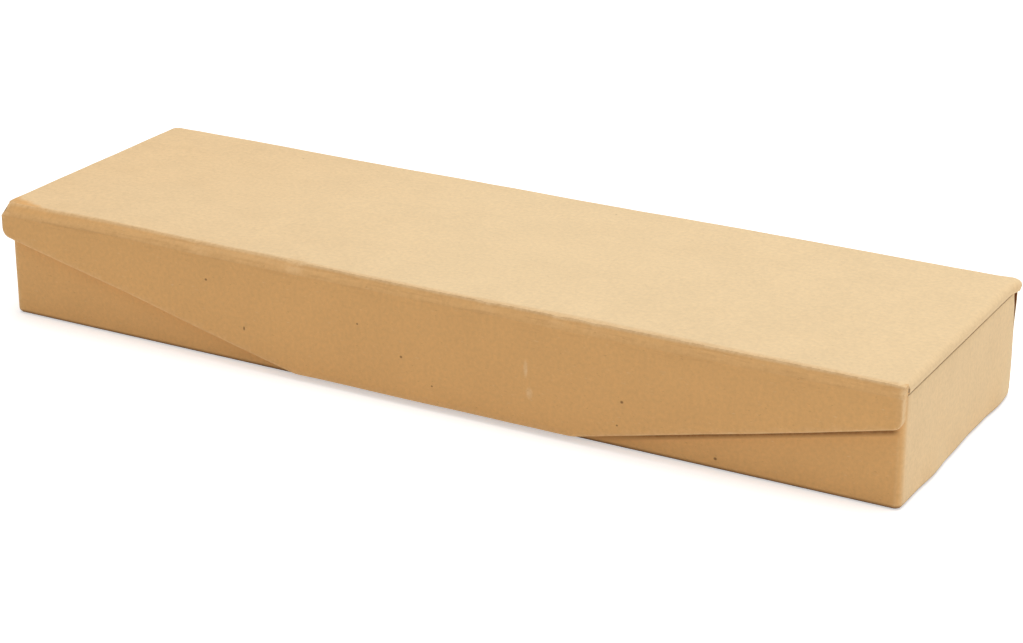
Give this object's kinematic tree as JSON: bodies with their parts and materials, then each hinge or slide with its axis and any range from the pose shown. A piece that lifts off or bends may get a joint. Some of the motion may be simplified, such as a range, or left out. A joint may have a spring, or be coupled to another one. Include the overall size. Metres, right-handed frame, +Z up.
{
  "type": "pencil box",
  "caption": "Long low box of kraft-covered board with a paper-hinged lid and a tapered front flap that folds down over the front.",
  "frame": {"origin": "middle of the tray's underside, on the surface that it stands on", "axes": "+Z up, X along the box's length, -Y out of the front that the flap covers"},
  "size_m": [0.2116, 0.0663, 0.026],
  "materials": {
    "kraft_paper": "matte brown kraft paper with a fine pulp speckle",
    "greyboard": "matte grey-brown recycled board",
    "gummed_tape": "matte gummed paper tape",
    "magnet": "nickel-plated disc magnet"
  },
  "bodies": {
    "tray": {"tray_floor_board": "greyboard", "tray_front_board": "greyboard", "tray_back_board": "greyboard", "tray_left_board": "greyboard", "tray_right_board": "greyboard", "corner_tape_front_left": "gummed_tape", "corner_tape_front_right": "gummed_tape", "corner_tape_back_left": "gummed_tape", "corner_tape_back_right": "gummed_tape", "tray_wrap": "kraft_paper", "tray_base_paper": "kraft_paper", "tray_floor_lining": "kraft_paper", "tray_wall_lining": "kraft_paper", "tray_magnets": "magnet", "hinge_paper": "kraft_paper"},
    "lid": {"lid_board": "greyboard", "lid_wrap": "kraft_paper", "lid_lining": "kraft_paper", "fold_paper": "kraft_paper"},
    "flap": {"flap_board": "greyboard", "flap_wrap": "kraft_paper", "flap_lining": "kraft_paper", "flap_magnets": "magnet"}
  },
  "joints": [
    {"name": "lid_hinge", "type": "hinge", "parent": "tray", "child": "lid", "pos_m": [0, 0.0327, 0.0237], "axis": [-1, 0, 0], "range_deg": [0, 175]},
    {"name": "flap_hinge", "type": "hinge", "parent": "lid", "child": "flap", "pos_m": [0, -0.0333, 0.0254], "axis": [-1, 0, 0], "range_deg": [0, 150], "deforming": ["fold_paper"]}
  ]
}
